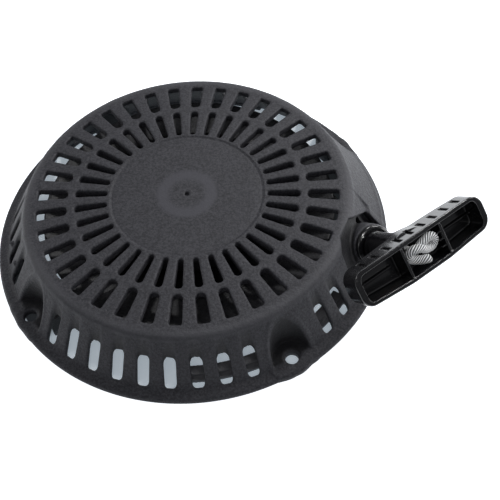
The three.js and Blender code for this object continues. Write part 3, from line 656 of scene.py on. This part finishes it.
def moulded(base, light, rough, grain, disc=False, painted_web_shade=0.0):
    def build(nt, b):
        co = coords(nt)
        fine = noise(nt, co, 1500, 2.0, 0.6)
        mid = noise(nt, co, 420, 3.0, 0.6)
        broad = noise(nt, co, 26, 4.0, 0.55)
        col = mix(nt, step(nt, broad, 0.35, 0.65), tuple(c * 0.92 for c in base), tuple(c * 1.08 for c in base))
        speck = noise(nt, co, 950, 2.0, 0.75)
        fleck = mix(nt, step(nt, speck, 0.38, 0.64), tuple(c * 0.52 for c in base), light)
        col = mix(nt, 0.7, col, fleck)
        grain_here = 1.0
        if disc:
            r, z = radius_of(nt, co)
            smooth = maths(nt, "MULTIPLY", maths(nt, "SUBTRACT", 1.0, step(nt, r, 0.0374, 0.0380)), step(nt, z, 0.0292, 0.0296))
            # sink ring round the centre, with painted sheen: drawn faintly lighter where the back light's sheen falls
            # on it
            ring = maths(nt, "MULTIPLY", step(nt, r, 0.0075, 0.0105), maths(nt, "SUBTRACT", 1.0, step(nt, r, 0.0138, 0.0160)))
            ring = maths(nt, "MULTIPLY", ring, smooth)
            col = mix(nt, maths(nt, "MULTIPLY", ring, 0.75), col, tuple(c * 1.75 for c in base))
            grain_here = maths(nt, "SUBTRACT", 1.0, maths(nt, "MULTIPLY", smooth, 0.65))
            # painted light: the baffles low down behind the side slots are drawn paler, as if lit from below
            low = maths(nt, "MULTIPLY", step(nt, r, 0.0812, 0.0822), maths(nt, "SUBTRACT", 1.0, step(nt, r, 0.0906, 0.0914)))
            low = maths(nt, "MULTIPLY", low, maths(nt, "SUBTRACT", 1.0, step(nt, z, 0.0047, 0.0056)))
            away = N(nt, "VectorMath", operation="DISTANCE")
            flat = N(nt, "VectorMath", operation="MULTIPLY"); nt.links.new(co, flat.inputs[0]); flat.inputs[1].default_value = (1, 1, 0)
            nt.links.new(flat.outputs[0], away.inputs[0]); away.inputs[1].default_value = (0.06495, -0.06726, 0)
            low = maths(nt, "MULTIPLY", low, step(nt, away.outputs["Value"], 0.0126, 0.0130))
            xyz = N(nt, "SeparateXYZ"); nt.links.new(co, xyz.inputs[0])
            low = maths(nt, "MULTIPLY", low, maths(nt, "MULTIPLY", step(nt, xyz.outputs[0], 0.0, 0.001), maths(nt, "SUBTRACT", 1.0, step(nt, xyz.outputs[1], -0.001, 0.0))))
            # painted shade in the recesses: whatever lies behind the cone of the wall, in the slots and the ear
            # pockets, is drawn near black
            behind = maths(nt, "SUBTRACT", maths(nt, "SUBTRACT", 0.0969469, maths(nt, "MULTIPLY", z, 0.5419)), r)
            painted_recess_shade = maths(nt, "MULTIPLY", step(nt, behind, 0.0002, 0.0015), step(nt, r, 0.0780, 0.0795))
            painted_recess_shade = maths(nt, "MULTIPLY", painted_recess_shade, maths(nt, "MULTIPLY", step(nt, z, 0.0034, 0.0039), maths(nt, "SUBTRACT", 1.0, step(nt, z, 0.0255, 0.0265))))
            col = mix(nt, maths(nt, "MULTIPLY", painted_recess_shade, 0.82), col, (0.005, 0.005, 0.006))
            # painted light on the low baffles
            col = mix(nt, low, col, (0.16, 0.16, 0.17))
            # painted highlight along the rounded shoulder, broken up by the broad tone noise
            painted_rim_highlight = maths(nt, "MULTIPLY", step(nt, r, 0.0768, 0.0800), step(nt, z, 0.0246, 0.0262))
            painted_rim_highlight = maths(nt, "MULTIPLY", painted_rim_highlight, maths(nt, "SUBTRACT", 1.0, step(nt, r, 0.0828, 0.0836)))
            painted_rim_highlight = maths(nt, "MULTIPLY", painted_rim_highlight, maths(nt, "ADD", 0.35, maths(nt, "MULTIPLY", step(nt, broad, 0.35, 0.65), 0.35)))
            col = mix(nt, painted_rim_highlight, col, (0.085, 0.085, 0.094))
        if painted_web_shade:
            # painted shade: the web inside the drum, under the cover, is drawn darker than the flange
            r, z = radius_of(nt, co)
            col = mix(nt, maths(nt, "MULTIPLY", maths(nt, "SUBTRACT", 1.0, step(nt, r, 0.0535, 0.0570)), painted_web_shade), col, (0.006, 0.006, 0.007))
        nt.links.new(col, b.inputs["Base Color"])
        ro = N(nt, "MapRange"); ro.inputs["To Min"].default_value, ro.inputs["To Max"].default_value = rough - 0.06, rough + 0.09
        nt.links.new(mid, ro.inputs["Value"]); nt.links.new(ro.outputs["Result"], b.inputs["Roughness"])
        height = maths(nt, "MULTIPLY", maths(nt, "ADD", fine, maths(nt, "MULTIPLY", mid, 1.6)), grain_here)
        nt.links.new(bump(nt, height, grain, 0.00022), b.inputs["Normal"])
        b.inputs["Specular IOR Level"].default_value = 0.33
    return build


def gloss(base, rough):
    def build(nt, b):
        co = coords(nt)
        smear = noise(nt, co, 60, 4.0, 0.6)
        dust = noise(nt, co, 1300, 2.0, 0.5)
        col = mix(nt, step(nt, dust, 0.66, 0.8), base, tuple(c * 3.2 + 0.002 for c in base))
        nt.links.new(col, b.inputs["Base Color"])
        ro = N(nt, "MapRange"); ro.inputs["To Min"].default_value, ro.inputs["To Max"].default_value = rough - 0.04, rough + 0.10
        nt.links.new(smear, ro.inputs["Value"]); nt.links.new(ro.outputs["Result"], b.inputs["Roughness"])
        wave = noise(nt, co, 170, 2.0, 0.5)
        nt.links.new(bump(nt, maths(nt, "ADD", wave, maths(nt, "MULTIPLY", dust, 0.25)), 0.09, 0.00035), b.inputs["Normal"])
        b.inputs["Specular IOR Level"].default_value = 0.45
        b.inputs["Coat Weight"].default_value = 0.18
        b.inputs["Coat Roughness"].default_value = 0.08
    return build


def fibre(base):
    def build(nt, b):
        co = coords(nt)
        f = noise(nt, co, 2600, 3.0, 0.7, 0.4)
        g = noise(nt, co, 240, 3.0, 0.55)
        col = mix(nt, step(nt, f, 0.3, 0.7), tuple(c * 0.78 for c in base), base)
        col = mix(nt, maths(nt, "MULTIPLY", step(nt, g, 0.5, 0.75), 0.35), col, (0.48, 0.49, 0.5))
        rel = N(nt, "Attribute", attribute_name="relief").outputs["Fac"]
        # painted shade: the grooves between the strands, where the relief is low, are drawn nearly black
        col = mix(nt, step(nt, rel, 0.34, 0.74), (0.012, 0.013, 0.015), col)
        nt.links.new(col, b.inputs["Base Color"])
        b.inputs["Roughness"].default_value = 0.62
        nt.links.new(bump(nt, f, 0.5, 0.0003), b.inputs["Normal"])
        b.inputs["Sheen Weight"].default_value = 0.35
        b.inputs["Subsurface Weight"].default_value = 0.0
    return build


def metal(base, rough, brushed=True):
    def build(nt, b):
        co = coords(nt)
        m = N(nt, "Mapping"); m.inputs["Scale"].default_value = (1, 12, 1) if brushed else (1, 1, 1)
        nt.links.new(co, m.inputs["Vector"])
        lines = noise(nt, m.outputs[0], 700, 3.0, 0.6)
        stain = noise(nt, co, 90, 4.0, 0.6)
        nt.links.new(mix(nt, step(nt, stain, 0.35, 0.75), base, tuple(c * 0.7 for c in base)), b.inputs["Base Color"])
        b.inputs["Metallic"].default_value = 1.0
        ro = N(nt, "MapRange"); ro.inputs["To Min"].default_value, ro.inputs["To Max"].default_value = rough - 0.08, rough + 0.14
        nt.links.new(lines, ro.inputs["Value"]); nt.links.new(ro.outputs["Result"], b.inputs["Roughness"])
        nt.links.new(bump(nt, lines, 0.12, 0.0002), b.inputs["Normal"])
    return build


MAT = {
    "housing_plastic": material("housing_plastic_mat", moulded((0.0385, 0.0382, 0.0450), (0.066, 0.066, 0.075), 0.58, 0.9, disc=True)),
    "gloss_black": material("gloss_black_mat", gloss((0.0035, 0.0035, 0.0042), 0.16)),
    # the reel plastic gets painted shade on its web
    "reel_plastic": material("reel_plastic_mat", moulded((0.040, 0.040, 0.044), (0.060, 0.060, 0.066), 0.42, 0.3, painted_web_shade=0.85)),
    "rope_fibre": material("rope_fibre_mat", fibre((0.86, 0.87, 0.88))),
    "steel": material("steel_mat", metal((0.52, 0.53, 0.55), 0.34)),
    "spring_steel": material("spring_steel_mat", metal((0.18, 0.19, 0.21), 0.30)),
    "brass": material("brass_mat", metal((0.72, 0.52, 0.24), 0.30, False)),
}


def finish(ob, body, slot, *nodes):
    ob.data.materials.clear()
    ob.data.materials.append(MAT[slot])
    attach(ob, body)
    if nodes:
        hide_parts(*nodes)
    return ob


# ------------------------------------------------------------------ the pieces
finish(housing(), "cover", "housing_plastic", "housing")
finish(grip(), "handle", "gloss_black", "handle_grip")
eyelet = [(3.3, -3.2), (4.2, -4.2), (5.3, -4.2), (5.3, 0.1), (8.8, 0.1), (10.0, 0.6), (10.2, 1.3), (9.7, 2.1), (8.6, 2.5), (6.4, 2.5), (5.2, 2.2), (4.2, 1.6), (3.5, 0.4)]
finish(turned("guide_eyelet", eyelet, 96, True, 0.5), "cover", "gloss_black", "rope_guide")


def knot():
    # floor of the middle compartment is at 31.6, the grip's front edge at 42; x and y from the grip's middle
    pts = [(-1.5, 0, 29), (-1.5, 0, 33), (-0.6, 0.3, 36.0), (3.0, 2.8, 38.4), (7.4, 3.4, 38.6), (9.6, 0.8, 37.6), (7.6, -1.8, 36.6),
           (3.6, -1.2, 37.4), (0.2, 1.2, 39.0), (-3.6, 2.2, 38.6), (-5.4, 0.2, 36.4), (-4.2, -2.6, 35.2), (-1.4, -4.4, 36.6), (1.4, -5.2, 38.4), (3.4, -5.4, 38.6)]
    P = to_world(np.array([(x + SHIFT, y, z) for x, y, z in pts]))
    return rope("end_knot", P, 2.12, step=0.16, sides=72, pitch=10.0, strands=8)


finish(knot(), "handle", "rope_fibre", "rope_knot")

# rope from the winding through the guide into the neck; what is pulled out is packed as its own mesh between guide and
# handle
feed_pts = [TANGENT + RUN * s for s in (6, 16, 28, 40, 50)] + [BEND - RUN * 4.2, BEND - RUN * 1.3 + OUT * 0.9, BEND + OUT * 4.2]
feed_pts = [p for p in feed_pts]
feed_pts.append(GUIDE + OUT * 1.2)
finish(rope("rope_feed_run", feed_pts, ROPE_R, step=0.45, sides=24), "cover", "rope_fibre", "rope_feed")
finish(rope("rope_lead_run", [GUIDE + OUT * t for t in (9.5, 16, 24, 31.0)], ROPE_R, step=0.45, sides=24), "handle", "rope_fibre", "rope_lead")


def pulled_rope():
    # all that comes out of the guide, packed at rest between the guide's mouth and the neck
    start, end, reach = 1.4, 9.4, 1086.0
    rings, sides = ((1500, 16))
    w = np.linspace(0, 1, rings)
    t = np.linspace(0, 1, 4001)
    t = np.interp(w, t * t * (3 - 2 * t), t)
    s = start + (end - start) * t
    along = w * reach
    th = np.linspace(0, 2 * np.pi, sides, endpoint=False)
    TH, AL = np.meshgrid(th, along)
    relief = np.abs(np.cos(2.0 * (TH + 2 * np.pi * AL / 13.0)))
    rr = ROPE_R * (0.88 + 0.12 * relief)
    local = np.stack([rr * np.cos(TH), rr * np.sin(TH), np.repeat(s[:, None], sides, 1)], -1).reshape(-1, 3)
    i, j = np.meshgrid(np.arange(rings - 1), np.arange(sides), indexing="ij")
    faces = np.stack([i * sides + j, i * sides + (j + 1) % sides, (i + 1) * sides + (j + 1) % sides, (i + 1) * sides + j], -1).reshape(-1, 4)
    ob = make_mesh("rope_pulled_out", to_world(local), faces)
    at = ob.data.attributes.new("relief", "FLOAT", "POINT")
    at.data.foreach_set("value", relief.ravel().astype(np.float32)[:len(ob.data.vertices)])
    ob.data.materials.append(MAT["rope_fibre"])
    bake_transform(ob)
    return ob


pulled_rope()


def reel():
    h = 0.6
    xs = ys = grid(-75, 75, h); zs = grid(7.4, 27.8, h) + 0.13
    X, Y = np.meshgrid(xs, ys, indexing="ij")
    R, A = np.hypot(X, Y), np.degrees(np.arctan2(Y, X))
    prof = [(8.9, 8.6), (12, 8.6), (12, 12.2), (53.4, 12.2), (53.4, 8.6), (71, 8.6), (71, 9.9), (56, 9.9), (56, 15.1), (73.4, 18.7), (73.4, 20.0), (57, 16.4), (53.4, 16.4), (51.6, 14.4), (12, 14.4), (12, 26.6), (8.9, 26.6)]
    rg = np.arange(0, 110, 0.1)
    RG, ZG = np.meshgrid(rg, zs, indexing="ij")
    T = sd_poly(RG, ZG, prof)
    kx, ky = 46.2 * math.cos(rad(200)), 46.2 * math.sin(rad(200))
    kr = np.hypot(X - kx, Y - ky)
    pins = [np.hypot(X - s * 24, Y) for s in (1, -1)]
    d30 = np.radians((A + 15) % 30 - 15)
    ribs = np.abs(R * np.sin(d30)) - 1.0

    def field(k):
        z = float(zs[k])
        f = np.interp(R, rg, T[:, k])
        f = smin(f, np.maximum.reduce([ribs, R - 52.5, 11 - R, np.full(R.shape, max(z - 15.9, 13 - z))]), 0.9)
        f = smin(f, np.maximum(np.maximum(kr - 6.8, abs(z - 12.4) - 3.6), R - 55), 0.8)
        for p in pins:
            f = smin(f, np.maximum(p - 4.2, abs(z - 13.9) - 2.1), 0.8)
            f = smax(f, -np.maximum(p - 2.3, z - 15.2), 0.3)
        f = smax(f, -np.maximum(kr - 4.9, z - 13.9), 0.3)
        return f
    v, q = surface(field, xs, ys, zs)
    ob = make_mesh("rope_reel", v, q)
    decimated(ob, 0.4)
    return ob


finish(reel(), "reel", "reel_plastic", *[n for n in ("reel", "reel_rim") if n in frame["nodes"]])


def winding():
    # three layers of rope side by side in the groove, as one coil
    pts = []
    turns = 3
    for i in range(turns * 40 + 1):
        t = i / (turns * 40)
        a = _ta + rad(3) + t * turns * 2 * math.pi
        r = 67.0 - t * 8.9
        pts.append((r * math.cos(a), r * math.sin(a), ROPE_Z + 0.15 * math.sin(a * 2.3)))
    return rope("rope_coil", pts, 2.2, step=1.1, sides=14, end_caps=True)


finish(winding(), "reel", "rope_fibre", "rope_winding")
finish(refined("rope_anchor_knot", "anchor_knot", 0.5), "reel", "rope_fibre", "rope_anchor_knot")
finish(turned("bushing", [(7.3, 8.9), (8.6, 8.9), (8.6, 26.2), (7.3, 26.2)], 64, False, 0.3), "reel", "brass", "reel_bushing")
finish(turned("keeper_plate", [(12.6, 17.6), (36.2, 17.6), (36.2, 18.5), (33.5, 18.5), (32.8, 18.9), (31.6, 18.9), (30.9, 18.5), (12.6, 18.5)], 128, False, 0.3), "cover", "steel", "spring_keeper")


def spiral():
    turns, inner, outer, strip = 9.5, 13.4, 35.4, 0.55
    n = 420
    verts, faces = [], []
    for i in range(n + 1):
        t = i / n
        a = rad(90) + t * turns * 2 * math.pi
        r = inner + (outer - inner) * t ** 0.72
        for dr, z in ((-strip / 2, 19.2), (strip / 2, 19.2), (strip / 2, 26.2), (-strip / 2, 26.2)):
            verts.append(((r + dr) * math.cos(a), (r + dr) * math.sin(a), z))
    for i in range(n):
        for j in range(4):
            faces.append((i * 4 + j, i * 4 + (j + 1) % 4, i * 4 + 4 + (j + 1) % 4, i * 4 + 4 + j))
    faces += [(3, 2, 1, 0), tuple(n * 4 + j for j in range(4))]
    me = bpy.data.meshes.new("spring_strip")
    me.from_pydata((np.array(verts) * 0.001).tolist(), [], faces)
    ob = bpy.data.objects.new("spring_strip", me)
    bpy.context.scene.collection.objects.link(ob)
    outward(ob)
    b = ob.modifiers.new("bevel", "BEVEL"); b.width, b.segments, b.limit_method, b.angle_limit = 0.00015, 2, "ANGLE", rad(40)
    applied(ob); shade(ob, 40)
    return ob


finish(spiral(), "cover", "spring_steel", "mainspring")
for i in (1, 2):
    finish(refined(f"pawl_{i}", f"drive_pawl_{i}", 0.35), f"pawl_{'ab'[i - 1]}", "steel", f"pawl_{i}")


def coil(name, centre, radius, wire, z0, z1, turns, start=0.0, sides=12):
    pts = [(centre[0] + radius * math.cos(start + 2 * math.pi * turns * t), centre[1] + radius * math.sin(start + 2 * math.pi * turns * t), z0 + (z1 - z0) * t) for t in np.linspace(0, 1, int(turns * 28))]
    P = np.array(pts)
    m = len(P)
    T = np.gradient(P, axis=0); T /= np.linalg.norm(T, axis=1)[:, None]
    U = np.tile([0, 0, 1.0], (m, 1)); U -= T * (U * T).sum(1)[:, None]; U /= np.linalg.norm(U, axis=1)[:, None]
    W = np.cross(T, U)
    th = np.linspace(0, 2 * np.pi, sides, endpoint=False)
    V = P[:, None] + wire * (np.cos(th)[None, :, None] * U[:, None] + np.sin(th)[None, :, None] * W[:, None])
    faces = [(i * sides + j, i * sides + (j + 1) % sides, (i + 1) * sides + (j + 1) % sides, (i + 1) * sides + j) for i in range(m - 1) for j in range(sides)]
    faces += [tuple(range(sides - 1, -1, -1)), tuple((m - 1) * sides + j for j in range(sides))]
    me = bpy.data.meshes.new(name)
    me.from_pydata((V.reshape(-1, 3) * 0.001).tolist(), [], faces)
    ob = bpy.data.objects.new(name, me)
    bpy.context.scene.collection.objects.link(ob)
    outward(ob); shade(ob, 50)
    return ob


finish(coil("brake_coil", (0, 0), 10.4, 0.45, 6.8, 7.9, 1.25), "reel", "spring_steel", "brake_spring")
for i, s in ((1, 1), (2, -1)):
    finish(coil(f"pawl_coil_{i}", (s * (24 - 7.6), s * 1.0), 2.0, 0.4, 8.2, 11.1, 3.0, rad(200)), "reel", "spring_steel", f"pawl_spring_{i}")
    pin = turned(f"pivot_pin_{i}", [(0, 6.4), (1.5, 6.4), (1.9, 6.8), (1.9, 14.5), (1.5, 14.9), (0, 14.9)], 40, False, 0.1)
    pin.data.transform(Matrix.Translation((s * 0.024, 0, 0)))
    finish(pin, "reel", "steel", f"pawl_pin_{i}")
finish(refined("friction_plate", "drag_plate", 0.2), "plate", "steel", "friction_plate")
finish(turned("washer_disc", [(3.3, 3.7), (11.5, 3.7), (11.5, 4.8), (3.3, 4.8)], 64, False, 0.25), "cover", "steel", "retainer_washer")
finish(refined("centre_screw", "hex_screw", 0.45, 3), "cover", "steel", "centre_screw")
finish(turned("insert_sleeve", [(2.7, 5.4), (4.0, 5.4), (4.0, 21.0), (2.7, 21.0)], 48, False, 0.2), "cover", "brass", "threaded_insert")


# ------------------------------------------------------------------ stage and light
def stage():
    me = bpy.data.meshes.new("floor")
    s = 3.0
    me.from_pydata([(-s, -s, 0), (s, -s, 0), (s, s, 0), (-s, s, 0)], [], [(0, 1, 2, 3)])
    ob = bpy.data.objects.new("floor", me)
    bpy.context.scene.collection.objects.link(ob)
    ob.location.z = -0.0006
    m = bpy.data.materials.new("floor_mat")
    m.use_nodes = True
    b = m.node_tree.nodes["Principled BSDF"]
    b.inputs["Base Color"].default_value = (0.86, 0.87, 0.88, 1)
    b.inputs["Roughness"].default_value = 0.9
    b.inputs["Specular IOR Level"].default_value = 0.1
    b.inputs["Emission Color"].default_value = (0.93, 0.96, 1.0, 1)
    nt = m.node_tree
    r, _ = radius_of(nt, coords(nt))
    # painted shade: the floor glows less inside the cover's footprint, standing in for the shade under the cover
    glow = N(nt, "MapRange", clamp=True)
    glow.inputs["From Min"].default_value, glow.inputs["From Max"].default_value = 0.0955, 0.0985
    glow.inputs["To Min"].default_value, glow.inputs["To Max"].default_value = 0.31, 1.05
    nt.links.new(r, glow.inputs["Value"])
    # the floor lies in deep shade under the right side and by the front left ear
    xy = N(nt, "SeparateXYZ"); nt.links.new(coords(nt), xy.inputs[0])
    ang = maths(nt, "ARCTAN2", xy.outputs[1], xy.outputs[0])
    right = maths(nt, "MULTIPLY", step(nt, ang, rad(-12), rad(-6)), maths(nt, "SUBTRACT", 1.0, step(nt, ang, rad(39), rad(44))))
    left = maths(nt, "MULTIPLY", step(nt, ang, rad(-168), rad(-164)), maths(nt, "SUBTRACT", 1.0, step(nt, ang, rad(-129), rad(-125))))
    left = maths(nt, "MULTIPLY", left, step(nt, r, 0.0835, 0.0850))
    shade_here = maths(nt, "MULTIPLY", maths(nt, "ADD", right, left), maths(nt, "SUBTRACT", 1.0, step(nt, r, 0.0955, 0.0965)))
    nt.links.new(maths(nt, "MULTIPLY", glow.outputs["Result"], maths(nt, "SUBTRACT", 1.0, maths(nt, "MULTIPLY", shade_here, 0.96))), b.inputs["Emission Strength"])
    nt.links.new(mix(nt, shade_here, (0.86, 0.87, 0.88), (0.04, 0.04, 0.045)), b.inputs["Base Color"])
    # painted shade: the glow under the cover is tinted bluer
    nt.links.new(mix(nt, step(nt, r, 0.0955, 0.0985), (0.84, 0.97, 1.08), (0.93, 0.96, 1.0)), b.inputs["Emission Color"])
    me.materials.append(m)
    ob.visible_diffuse = False
    # the floor under the cover sends its light back up through the open bottom
    ring = [(0.0965 * math.cos(a), 0.0965 * math.sin(a), 0.0) for a in np.linspace(0, 2 * math.pi, 96, endpoint=False)]
    me = bpy.data.meshes.new("floor_under")
    me.from_pydata(ring, [], [tuple(range(96))])
    me.materials.append(m)
    under = bpy.data.objects.new("floor_under", me)
    bpy.context.scene.collection.objects.link(under)
    under.location.z = -0.0003


def light(name, at, target, size, energy, colour=(1, 1, 1), size_y=None):
    d = bpy.data.lights.new(name, "AREA")
    d.energy, d.color, d.size = energy, colour, size
    if size_y:
        d.shape, d.size_y = "RECTANGLE", size_y
    ob = bpy.data.objects.new(name, d)
    ob.location = at
    ob.rotation_euler = (Vector(target) - Vector(at)).to_track_quat("-Z", "Y").to_euler()
    bpy.context.scene.collection.objects.link(ob)
    return ob


stage()
turn = rad(15.56)


def around(az, el, dist):
    a = rad(az)
    return (dist * math.cos(rad(el)) * math.cos(a), dist * math.cos(rad(el)) * math.sin(a), dist * math.sin(rad(el)))


light("key", around(44, 37, 1.2), (0, 0, 0.02), 0.36, 6.4)
light("back", around(83, 51, 1.2), (0, 0, 0.02), 0.13, 3.6)
light("side", around(20, 14, 1.2), (0, 0, 0.02), 0.40, 2.6)
light("left", around(172, 16, 1.2), (0, 0, 0.02), 0.40, 2.4)
light("front", around(-80, 50, 1.3), (0, 0, 0.02), 0.25, 0.5)
# a narrow snoot on the knot in its dark pocket
snoot = bpy.data.lights.new("snoot", "SPOT")
snoot.energy, snoot.spot_size, snoot.spot_blend, snoot.shadow_soft_size = 38.0, rad(2.4), 0.7, 0.02
aim = to_world(np.array([[SHIFT + 1.0, 0.0, 38.0]]))[0] * 0.001
lamp = bpy.data.objects.new("snoot", snoot)
lamp.location = Vector(aim) + Vector(around(-25, 60, 1.2))
lamp.rotation_euler = (Vector(aim) - lamp.location).to_track_quat("-Z", "Y").to_euler()
bpy.context.scene.collection.objects.link(lamp)
world = bpy.data.worlds.new("world")
bpy.context.scene.world = world
world.use_nodes = True
sky = world.node_tree
sky.nodes["Background"].inputs[0].default_value = (0.93, 0.95, 1.0, 1)
up = N(sky, "SeparateXYZ"); sky.links.new(N(sky, "TexCoord").outputs["Generated"], up.inputs[0])
fade = N(sky, "MapRange", clamp=True)
fade.inputs["From Min"].default_value, fade.inputs["From Max"].default_value = -0.10, 0.42
fade.inputs["To Min"].default_value, fade.inputs["To Max"].default_value = 0.05, 0.30
sky.links.new(up.outputs[2], fade.inputs["Value"])
seen = N(sky, "LightPath").outputs["Is Camera Ray"]
sky.links.new(maths(sky, "ADD", maths(sky, "MULTIPLY", seen, 0.86), maths(sky, "MULTIPLY", maths(sky, "SUBTRACT", 1.0, seen), fade.outputs["Result"])), sky.nodes["Background"].inputs[1])
bpy.context.scene.view_settings.view_transform = "Standard"
bpy.context.scene.view_settings.look = "None"
